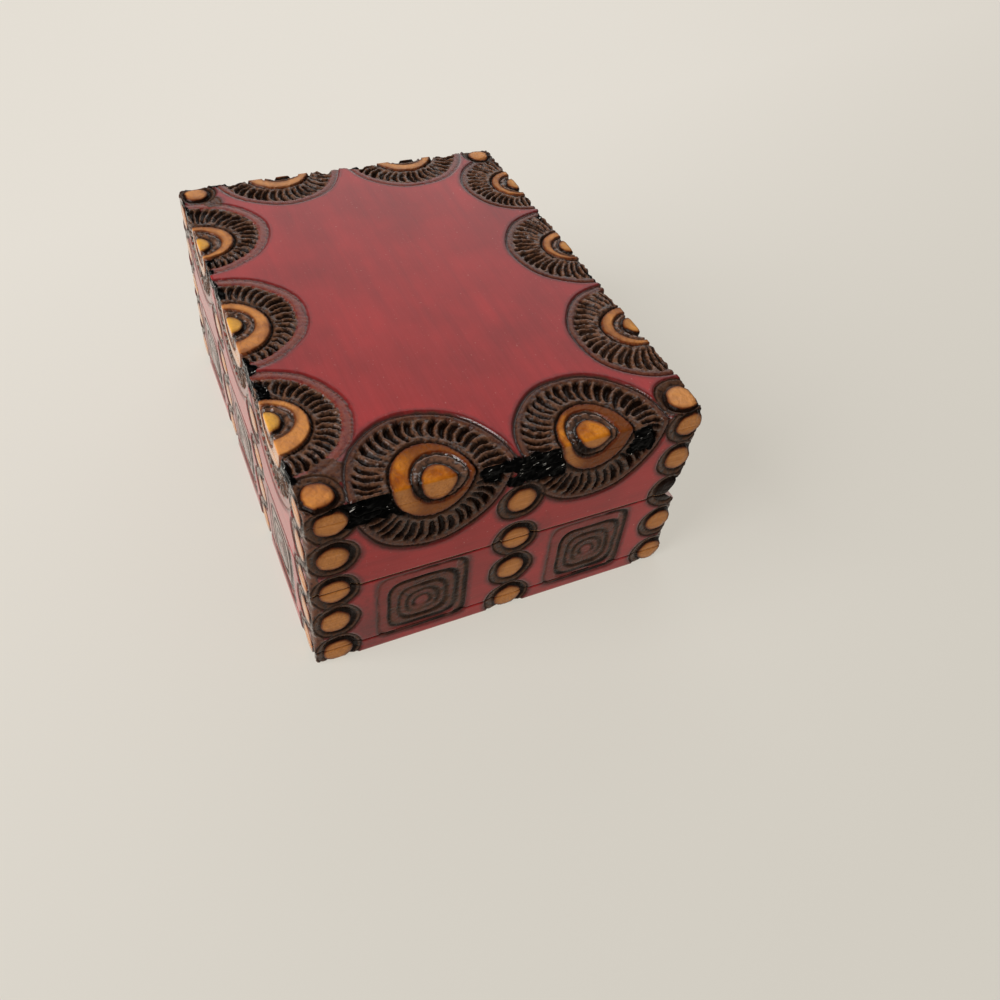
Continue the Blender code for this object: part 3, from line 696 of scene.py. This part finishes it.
def addGrid(shell, grid, plain=None):
    # Quads over a grid of points; blocks with no carving in them become single faces
    rows, columns = grid.shape[:2]
    index = addPoints(shell, grid.reshape(-1, 3)).reshape(rows, columns)
    quads = np.stack([index[:-1, :-1], index[:-1, 1:], index[1:, 1:], index[1:, :-1]], -1)
    if plain is not None:
        block = meshLook["block"]
        quads = quads[~np.kron(plain, np.ones((block, block), bool))]
        padded = np.pad(plain, 1)
        for row, column in zip(*np.nonzero(plain)):
            top, left = row * block, column * block
            bottom, right = top + block, left + block
            # A side keeps the points that its neighbour uses
            sides = [
                (index[top, left:right], padded[row, column + 1]),
                (index[top:bottom, right], padded[row + 1, column + 2]),
                (index[bottom, right:left:-1], padded[row + 2, column + 1]),
                (index[bottom:top:-1, left], padded[row + 1, column]),
            ]
            kept = [line[:1] if alike else line for line, alike in sides]
            shell["faces"].append(np.concatenate(kept).tolist())
            shell["kinds"].append(carvedFace)
    quads = quads.reshape(-1, 4)
    shell["faces"] += quads.tolist()
    shell["kinds"] += [carvedFace] * len(quads)


def addCap(shell, points, kind=bareFace):
    shell["faces"].append(addPoints(shell, np.array(points, float)).tolist())
    shell["kinds"].append(kind)


def addObject(name, data):
    made = bpy.data.objects.new(name, data)
    bpy.context.scene.collection.objects.link(made)
    return made


def finishShell(shell, name, materials, slope=None):
    # Points in one place are joined, carved, and made into a mesh with the fields on it
    points = np.round(np.concatenate(shell["points"]) / touching).astype(np.int64)
    merged, back = np.unique(points, axis=0, return_inverse=True)
    back = back.reshape(-1)
    used = np.zeros(len(merged), bool)
    faces = []
    for face in shell["faces"]:
        loop = back[face]
        faces.append([int(point) for place, point in enumerate(loop) if point != loop[place - 1]])
        used[faces[-1]] = True
    order = np.cumsum(used) - 1
    places = (merged * touching)[used]
    moved, field = carvePoints(places)
    if slope:
        # The rim of the hinge groove stays on the groove's slanting face
        onSlope = slope["on"](places)
        moved[onSlope, 2] = slope["height"](moved[onSlope, 1])
    mesh = bpy.data.meshes.new(name)
    mesh.from_pydata((moved * mm).tolist(), [], [order[face].tolist() for face in faces])
    mesh.polygons.foreach_set("material_index", shell["kinds"])
    mesh.polygons.foreach_set("use_smooth", [kind == carvedFace for kind in shell["kinds"]])
    for channel, values in field.items():
        mesh.attributes.new(channel, "FLOAT", "POINT").data.foreach_set("value", values.astype(np.float32))
    for material in materials:
        mesh.materials.append(material)
    editable = bmesh.new()
    editable.from_mesh(mesh)
    bmesh.ops.recalc_face_normals(editable, faces=editable.faces)
    editable.to_mesh(mesh)
    editable.free()
    return addObject(name, mesh)


def sheet(path, lows, highs, rows):
    # A grid over an upright sheet that follows a path in plan, between two heights
    share = np.linspace(0, 1, rows + 1)[:, None]
    grid = np.empty((rows + 1, len(path), 3))
    grid[:, :, :2] = path
    grid[:, :, 2] = lows * (1 - share) + highs * share
    return grid


def planLine(x, y):
    return np.column_stack(np.broadcast_arrays(x, y)).astype(float)


def plainBlocks(x, y):
    # Which blocks of the top's grid have no carving, burn or soot in them
    field = carveTop(x.ravel(), y.ravel())
    busy = np.any([field[name] > limit for name, limit in plainLook.items()], axis=0).reshape(x.shape)
    block = meshLook["block"]
    rows, columns = (range(0, count - 1, block) for count in x.shape)
    return np.array([
        [not busy[row:row + block + 1, column:column + block + 1].any() for column in columns]
        for row in rows
    ])


def makeSlab(name, low, high, materials):
    # The lid's top or the bottom board: a strip round the edge, and two flat faces
    shell = newShell()
    path = np.concatenate([
        planLine(longSteps, -halfWide)[:-1], planLine(halfLong, wideSteps)[:-1],
        planLine(longSteps[::-1], halfWide)[:-1], planLine(-halfLong, wideSteps[::-1]),
    ])
    strip = sheet(path, low, high, max(2, round((high - low) / meshLook["cell"])))
    addGrid(shell, strip)
    addCap(shell, strip[0, :-1][::-1])
    if high == tall:
        x, y = np.meshgrid(longSteps, wideSteps)
        addGrid(shell, np.stack([x, y, np.full_like(x, tall)], -1), plainBlocks(x, y))
    else:
        addCap(shell, strip[-1, :-1])
    return finishShell(shell, name, materials)


def grooveSlope(lid):
    # The slanting face of the hinge groove on the lid or the base
    start, end = (lidLow, lidBevel) if lid else (baseHigh, baseBevel)

    def height(y):
        return start + (end - start) * (y - pivotY) / (halfWide - pivotY)

    def on(points):
        away = np.abs(points[:, 2] - height(points[:, 1]))
        return (points[:, 1] > pivotY - touching) & (away < meshLook["onGroove"])

    return {"height": height, "on": on}


def makeLongWall(name, back, lid, materials):
    # A front or back wall between the two ends; a back wall is bevelled at the hinge groove
    outer, inner = (halfWide, -wallInner) if back else (-halfWide, wallInner)
    low, high = (lidLow, topSeam) if lid else (bottomSeam, baseHigh)
    lowBevelled, highBevelled = back and lid, back and not lid
    outerLow = lidBevel if lowBevelled else low
    outerHigh = baseBevel if highBevelled else high
    left, right = -endInner, endInner
    rows = round((outerHigh - outerLow) / meshLook["cell"])
    grid = sheet(planLine(spread(left, right), outer), outerLow, outerHigh, rows)
    shell = newShell()
    addGrid(shell, grid)
    for row, level, bevelled in ((grid[0], low, lowBevelled), (grid[-1], high, highBevelled)):
        within = [(right, inner, level), (left, inner, level)]
        if bevelled:
            addCap(shell, [*row, (right, pivotY, level), (left, pivotY, level)], stainedFace)
            addCap(shell, [(left, pivotY, level), (right, pivotY, level), *within])
        else:
            addCap(shell, [*row, *within])
    addCap(shell, [(left, inner, low), (right, inner, low), (right, inner, high), (left, inner, high)])
    for column, x in ((grid[:, 0], left), (grid[:, -1], right)):
        atHigh = [(x, pivotY, high)] if highBevelled else []
        atLow = [(x, pivotY, low)] if lowBevelled else []
        addCap(shell, [*column, *atHigh, (x, inner, high), (x, inner, low), *atLow])
    return finishShell(shell, name, materials, grooveSlope(lid) if back else None)


def makeEndWall(name, side, lid, materials):
    # An end wall runs the full width and shows its own ends on the front and the back
    outer, inner = side * halfLong, side * endInner
    low, high = (lidLow, topSeam) if lid else (bottomSeam, baseHigh)
    ends = spread(inner, outer)
    path = np.concatenate([
        planLine(ends, -halfWide)[:-1], planLine(outer, wideSteps)[:-1], planLine(ends[::-1], halfWide),
    ])
    slope = grooveSlope(lid)
    lows, highs = np.full(len(path), low), np.full(len(path), high)
    beyond = path[:, 1] > pivotY
    (lows if lid else highs)[beyond] = slope["height"](path[beyond, 1])
    grid = sheet(path, lows, highs, round((high - low) / meshLook["cell"]))
    shell = newShell()
    addGrid(shell, grid)
    grooved, straight = (grid[0], grid[-1]) if lid else (grid[-1], grid[0])
    corner = (inner, pivotY, low if lid else high)
    addCap(shell, straight)
    addCap(shell, [*grooved[grooved[:, 1] <= pivotY + touching], corner])
    addCap(shell, [*grooved[grooved[:, 1] >= pivotY - touching], corner], stainedFace)
    first, last = (grid[:, 0], grid[::-1, -1]) if lid else (grid[::-1, 0], grid[:, -1])
    addCap(shell, [*first, *last, corner])
    return finishShell(shell, name, materials, slope)


# Materials
def hexColour(text):
    # sRGB hex to the linear values that shaders work in
    parts = [int(text[place:place + 2], 16) / 255 for place in (1, 3, 5)]
    linear = [part / 12.92 if part <= 0.04045 else ((part + 0.055) / 1.055) ** 2.4 for part in parts]
    return (*linear, 1.0)


def addNode(tree, kind, inputs=None, **settings):
    made = tree.nodes.new("ShaderNode" + kind)
    for name, value in settings.items():
        setattr(made, name, value)
    for name, value in (inputs or {}).items():
        if isinstance(value, bpy.types.NodeSocket):
            tree.links.new(value, made.inputs[name])
        else:
            made.inputs[name].default_value = value
    return made


def startMaterial(name, look, grainAxis=0):
    # A material with its colours, and places in millimetres, plain and drawn out along the grain
    material = bpy.data.materials.new(name)
    material.use_nodes = True
    tree = material.node_tree
    tree.nodes.clear()
    place = addNode(tree, "TexCoord").outputs["Object"]
    inMm = addNode(tree, "VectorMath", {0: place, "Scale": 1 / mm}, operation="SCALE").outputs[0]
    stretch = [look["stretch"] if axis == grainAxis else 1.0 for axis in range(3)]
    alongGrain = addNode(tree, "VectorMath", {0: inMm, 1: stretch}, operation="MULTIPLY").outputs[0]
    known = {key: hexColour(text) for key, text in look["colours"].items()}
    known.update(inMm=inMm, alongGrain=alongGrain)
    return material, tree, known


# A line of a table says a name, what makes it, and the inputs. A noise takes where, 1 / size
# in mm, and detail. A ramp takes a value, where it starts and ends, and what it gives there,
# or 0 and 1. Values and colours take the lowest one, then each share and what it lays over.
stepKinds = {
    "noise": ("TexNoise", ("Vector", "Scale", "Detail"), {}, 0),
    "ramp": ("MapRange", (0, 1, 2, 3, 4), {}, 0),
    "values": ("Mix", (0, 2, 3), {}, 0),
    "colours": ("Mix", (0, 6, 7), {"data_type": "RGBA"}, 2),
    "addTimes": ("Math", (2, 0, 1), {"operation": "MULTIPLY_ADD"}, 0),
    "times": ("Math", (0, 1), {"operation": "MULTIPLY", "use_clamp": True}, 0),
    "minus": ("Math", (0, 1), {"operation": "SUBTRACT", "use_clamp": True}, 0),
    "larger": ("Math", (0, 1), {"operation": "MAXIMUM"}, 0),
}


def followSteps(tree, known, steps):
    # Each line may use what is known by then, and is itself known from then on
    for name, step, *parts in steps:
        kind, sockets, settings, output = stepKinds[step]
        rows = [parts]
        if kind == "Mix":
            known[name] = known.get(parts[0], parts[0])
            rows = [(share, name, over) for share, over in parts[1:]]
        for row in rows:
            inputs = {socket: known.get(part, part) for socket, part in zip(sockets, row)}
            known[name] = addNode(tree, kind, inputs, **settings).outputs[output]


def finishMaterial(tree, inputs):
    shader = addNode(tree, "BsdfPrincipled", inputs)
    addNode(tree, "OutputMaterial", {"Surface": shader.outputs[0]})


carvedWood = {
    "colours": {
        "maroonDeep": "#8e1a19", "maroonFair": "#af2323", "streakMaroon": "#76161a",
        "liftedMaroon": "#ac3436", "poreTan": "#c07a72", "hazeBrown": "#26110d",
        "ridgeBrown": "#7d543c", "ridgeDark": "#342118", "charBlack": "#190c06",
        # The two top honeys are painted light: a deeper, more orange copy of the honey for the lit top
        "amberFair": "#d28f52", "amberDeep": "#a5642c", "paintedLitTopFair": "#d98422",
        "paintedLitTopDeep": "#a25008", "goldYellow": "#dda045", "blushTan": "#d9a070",
        # The last grey here is a painted highlight, for the glints on the soot
        "amberBled": "#6e3714", "amberRim": "#4e1608", "sootBlack": "#030303", "paintedGlintGrey": "#d8d4ce",
    },
    "stretch": 0.06,
    "glint": {"Rotation": (0.35, 0.0, 0.0), "Scale": (0.26, 1.6, 0.26)},  # its scale is its size in mm
    "shader": {"IOR": 1.42, "Coat Roughness": 0.16, "Coat IOR": 1.25},
}
carvedSteps = [
    ("fibre", "noise", "alongGrain", 1 / 0.45, 3.0),
    ("streaky", "noise", "alongGrain", 1 / 2.4, 3.0),
    ("mottle", "noise", "inMm", 1 / 13.0, 4.0),
    ("speck", "noise", "inMm", 1 / 0.55, 2.0),
    ("crust", "noise", "inMm", 1 / 0.8, 5.0),
    ("cloudy", "noise", "inMm", 1 / 3.2, 2.0),
    ("lump", "noise", "inMm", 1 / 1.5, 1.0),
    ("glint", "noise", "slanted", 1.0, 0.0),
    # Stain: two maroons in soft clouds, lifted along the fibres and at pores
    ("clouds", "ramp", "mottle", 0.3, 0.7),
    ("streaks", "ramp", "streaky", 0.42, 0.70, 0.0, 0.32),
    ("lifted", "ramp", "fibre", 0.38, 0.75, 0.0, 0.34),
    ("dots", "ramp", "speck", 0.69, 0.75, 0.0, 0.5),
    ("stain", "colours", "maroonDeep", ("clouds", "maroonFair"), ("streaks", "streakMaroon"),
        ("lifted", "liftedMaroon"), ("dots", "poreTan")),
    # Haze of smoke outside the burnt outline
    ("ragged", "addTimes", "burnEdge", "crust", 0.9),
    ("outside", "ramp", "ragged", -0.7, 0.55, 0.0, 0.85),
    ("haze", "ramp", "ragged", 0.45, 0.85, 1.0, 0.25),
    ("haze", "times", "outside", "haze"),
    # Scorched wood: umber on what stands up, near black in what was pressed or cut deepest
    ("scorched", "ramp", "burnEdge", -0.12, 0.12),
    ("scorched", "times", "scorched", "scorch"),
    ("charred", "addTimes", "char", "crust", 0.9),
    ("charred", "minus", "charred", 0.45),
    ("varied", "ramp", "crust", 0.36, 0.62),
    ("burnt", "colours", "ridgeDark", ("varied", "ridgeBrown"), ("charred", "charBlack")),
    # Clear wood: honey with fine fibres, toasted at its rim, and deeper and more orange on top, a copy
    # painted as light on the lit top
    ("clear", "ramp", "amberEdge", -0.06, 0.06),
    ("paintedLitTop", "ramp", "height", tall - 0.5, tall - 0.22),
    ("uneven", "ramp", "cloudy", 0.3, 0.65),
    ("onTop", "colours", "paintedLitTopDeep", ("uneven", "paintedLitTopFair")),
    ("golden", "times", "gold", "paintedLitTop"),
    ("bled", "addTimes", "amberEdge", "cloudy", 2.2),
    ("bled", "ramp", "bled", 1.0, 2.3, 0.6, 0.0),
    ("toasted", "ramp", "amberEdge", 0.05, 0.5, 0.85, 0.0),
    ("honey", "colours", "amberDeep", ("fibre", "amberFair"), ("paintedLitTop", "onTop"), ("blush", "blushTan"),
        ("golden", "goldYellow"), ("bled", "amberBled"), ("toast", "amberBled"), ("toasted", "amberRim")),
    # Soot: a black crust with short grey glints on its lumps, painted highlights laid into its colour
    ("sooty", "addTimes", "sootEdge", "crust", 0.8),
    ("sooty", "ramp", "sooty", 0.25, 0.6),
    ("broken", "ramp", "lump", 0.54, 0.62),
    ("glint", "ramp", "glint", 0.71, 0.77),
    ("glint", "times", "glint", "broken"),
    ("glint", "times", "glint", "sooty"),
    ("colour", "colours", "stain", ("haze", "hazeBrown"), ("scorched", "burnt"), ("clear", "honey"),
        ("sooty", "sootBlack"), ("glint", "paintedGlintGrey")),
    # How rough it is, how much the wood itself shines, and how much varnish lies over it
    ("rough", "ramp", "fibre", 0.3, 0.7, 0.36, 0.46),
    ("rough", "values", "rough", ("scorched", 0.18), ("polish", 0.11), ("sooty", 0.12)),
    ("burntGloss", "ramp", "charred", 0.0, 0.6, 0.50, 0.07),
    ("gloss", "values", 0.2, ("scorched", "burntGloss"), ("polish", 0.95), ("clear", 0.1), ("sooty", 0.015)),
    ("coat", "larger", "scorched", "sooty"),
    ("coat", "ramp", "coat", 0.0, 1.0, 0.95, 0.10),
    ("coat", "values", "coat", ("clear", 0.08), ("sooty", 0.0)),
    ("thick", "times", "varnish", 0.85),
    ("coat", "larger", "coat", "thick"),
    # Relief in mm: fibres, tool chatter in the dry burnt parts, and blisters in the soot
    ("dryBurn", "minus", "scorched", "sooty"),
    ("dryBurn", "minus", "dryBurn", "polish"),
    ("chatter", "times", "crust", "dryBurn"),
    ("blister", "times", "lump", "sooty"),
    ("relief", "times", "fibre", 0.02),
    ("relief", "addTimes", "relief", "chatter", 0.24),
    ("relief", "addTimes", "relief", "blister", 0.5),
]


def makeCarvedWood(name, grainAxis, carved=True):
    # Limewood under a maroon spirit stain, scorched with a hot tool and varnished: a satin
    # wine red, dull umber in the tool marks, clear honey where the wood was left bare.
    look = carvedWood
    material, tree, known = startMaterial(name, look, grainAxis)
    known["height"] = addNode(tree, "SeparateXYZ", {0: known["inMm"]}).outputs[2]
    slant = {"Vector": known["inMm"], **look["glint"]}
    known["slanted"] = addNode(tree, "Mapping", slant, vector_type="TEXTURE").outputs[0]
    known.update(channels)
    for channel in channels if carved else ():
        known[channel] = addNode(tree, "Attribute", attribute_name=channel).outputs["Fac"]
    followSteps(tree, known, carvedSteps)
    bump = addNode(tree, "Bump", {"Height": known["relief"], "Distance": mm, "Strength": 1.0}).outputs[0]
    finishMaterial(tree, {
        "Base Color": known["colour"], "Roughness": known["rough"], "Normal": bump,
        "Specular IOR Level": known["gloss"], "Coat Weight": known["coat"], **look["shader"],
    })
    return material


bareWood = {
    "colours": {"fair": "#dcb98c", "deep": "#c39a6a", "pore": "#a87c4e"},
    "stretch": 0.05,
    "bump": 0.05 * mm,
    "steps": [
        ("fibre", "noise", "alongGrain", 1 / 0.6, 4.0),
        ("bands", "noise", "alongGrain", 1 / 5.0, 2.0),
        ("pores", "ramp", "fibre", 0.45, 0.7, 0.0, 0.35),
        ("colour", "colours", "deep", ("bands", "fair"), ("pores", "pore")),
        ("rough", "ramp", "fibre", 0.0, 1.0, 0.55, 0.7),
    ],
}


def makeBareWood(name, grainAxis):
    # Limewood left bare inside and sawn smooth: pale, close-grained and quite matt
    material, tree, known = startMaterial(name, bareWood, grainAxis)
    followSteps(tree, known, bareWood["steps"])
    height = {"Height": known["fibre"], "Distance": bareWood["bump"], "Strength": 1.0}
    bump = addNode(tree, "Bump", height).outputs[0]
    finishMaterial(tree, {"Base Color": known["colour"], "Roughness": known["rough"], "Normal": bump})
    return material


brassWire = {
    "colours": {"brass": "#b89a5c", "worn": "#8f7d5e"},
    "stretch": 1.0,
    "steps": [
        ("wear", "noise", "inMm", 1.2, 4.0),  # spots of about 0.8 mm
        ("colour", "colours", "brass", ("wear", "worn")),
        ("rough", "ramp", "wear", 0.0, 1.0, 0.25, 0.5),
    ],
}


def makeWire(name):
    # Steel wire with a thin brass wash, handled and dulled: a warm metal, worn greyer in spots
    material, tree, known = startMaterial(name, brassWire)
    followSteps(tree, known, brassWire["steps"])
    finishMaterial(tree, {"Base Color": known["colour"], "Metallic": 1.0, "Roughness": known["rough"]})
    return material


longWood, endWood = (
    [
        makeCarvedWood("maroonStainedLimewood" + run, axis),
        makeBareWood("bareSawnLimewood" + run, axis),
        makeCarvedWood("maroonStainedGroove" + run, axis, False),
    ]
    for axis, run in enumerate(("Long", "End"))
)
wire = makeWire("brassWashedSteelWire")
print("materials made")

pieces = [
    (makeSlab("lidTopBoard", topSeam, tall, longWood[:2]), "lid_top", "lid", "stained_wood"),
    (makeSlab("bottomBoard", 0.0, bottomSeam, longWood[:2]), "bottom_board", "base", "bare_wood"),
]
for bodyName, isLid in (("lid", True), ("base", False)):
    for tag, isBack in (("Front", False), ("Back", True)):
        made = makeLongWall(bodyName + tag + "Wall", isBack, isLid, longWood if isBack else longWood[:2])
        pieces.append((made, f"{bodyName}_{tag.lower()}", bodyName, "stained_wood"))
    for tag, side in (("Right", 1), ("Left", -1)):
        made = makeEndWall(bodyName + "End" + tag, side, isLid, endWood)
        pieces.append((made, f"{bodyName}_end_{tag.lower()}", bodyName, "stained_wood"))
for obj, node, body, slotName in pieces:
    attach(obj, body)
    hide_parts(node)
print("boards carved:", sum(len(obj.data.polygons) for obj, *_ in pieces), "faces")

for node in ("lid_hinge_pin_left", "lid_hinge_pin_right", "base_hinge_pin_left", "base_hinge_pin_right"):
    pin = frame["nodes"][node]
    pin.data.materials.clear()
    pin.data.materials.append(wire)

# Floor, lights and camera, in metres; a panel has its place, size and power
studio = {
    "colours": {"far": "#ded8cd", "near": "#cac5b9", "base": "#85827e"},
    "stretch": 1.0, "glow": 0.78, "rough": 0.6, "gloss": 0.2, "floorHalf": 3.0, "floorDrop": 0.0001,
    "panels": {
        "ceilingPanel": ((0.10, -1.05, 0.66), 0.9, 18.2),
        "windowPanel": ((-1.15, 0.50, 0.74), 1.1, 4.5),
        "fillPanel": ((0.42, 0.34, 0.22), 0.3, 0.16),
    },
    "aim": (0, 0, 0.02), "world": "#f6f3ec", "worldStrength": 0.18,
    # Painted light falloff: the floor's glow darkens from the back towards the camera
    "steps": [
        ("nearer", "addTimes", "forwards", "sideways", 0.2),
        ("nearer", "ramp", "nearer", -0.12 / mm, 0.13 / mm),
        ("tone", "colours", "far", ("nearer", "near")),
    ],
}


def makeFloor():
    # Plain off-white laminate that glows, so that shadows on it stay faint; its glow is painted light,
    # lighter at the back and darker nearer the camera
    material, tree, known = startMaterial("offWhiteLaminate", studio)
    parts = addNode(tree, "SeparateXYZ", {0: known["inMm"]}).outputs
    known.update(forwards=parts[0], sideways=parts[1])
    followSteps(tree, known, studio["steps"])
    finishMaterial(tree, {
        "Base Color": known["base"], "Roughness": studio["rough"], "Specular IOR Level": studio["gloss"],
        "Emission Color": known["tone"], "Emission Strength": studio["glow"],
    })
    mesh = bpy.data.meshes.new("floor")
    half = studio["floorHalf"]
    corners = [(-half, -half, 0), (half, -half, 0), (half, half, 0), (-half, half, 0)]
    mesh.from_pydata(corners, [], [(0, 1, 2, 3)])
    mesh.materials.append(material)
    floor = addObject("floor", mesh)
    floor.location.z = -studio["floorDrop"]


def addPanel(name, place, size, power):
    light = bpy.data.lights.new(name, "AREA")
    light.shape = "SQUARE"
    light.size = size
    light.energy = power
    panel = addObject(name, light)
    panel.location = place
    panel.rotation_euler = (Vector(studio["aim"]) - Vector(place)).to_track_quat("-Z", "Y").to_euler()


makeFloor()
for name, (place, size, power) in studio["panels"].items():
    addPanel(name, place, size, power)
world = bpy.data.worlds.new("studioWorld")
world.use_nodes = True
background = world.node_tree.nodes["Background"]
background.inputs[0].default_value = hexColour(studio["world"])
background.inputs[1].default_value = studio["worldStrength"]
bpy.context.scene.world = world
bpy.context.scene.view_settings.view_transform = "Standard"

# Place in metres, turn in degrees, sensor and lens in millimetres
cameraLook = {
    "place": (0.14240, -0.05660, 0.15360), "turn": (45.102, -5.204, 65.770),
    "sensor": 36, "lens": 33.27, "shiftY": -0.06, "nearest": 0.005,
}
camera = bpy.data.cameras.new("camera")
camera.sensor_width = cameraLook["sensor"]
camera.lens = cameraLook["lens"]
camera.shift_y = cameraLook["shiftY"]
camera.clip_start = cameraLook["nearest"]
cameraObject = addObject("camera", camera)
cameraObject.location = cameraLook["place"]
cameraObject.rotation_euler = [math.radians(angle) for angle in cameraLook["turn"]]
bpy.context.scene.camera = cameraObject
print("stage set")

bpy.context.view_layer.update()
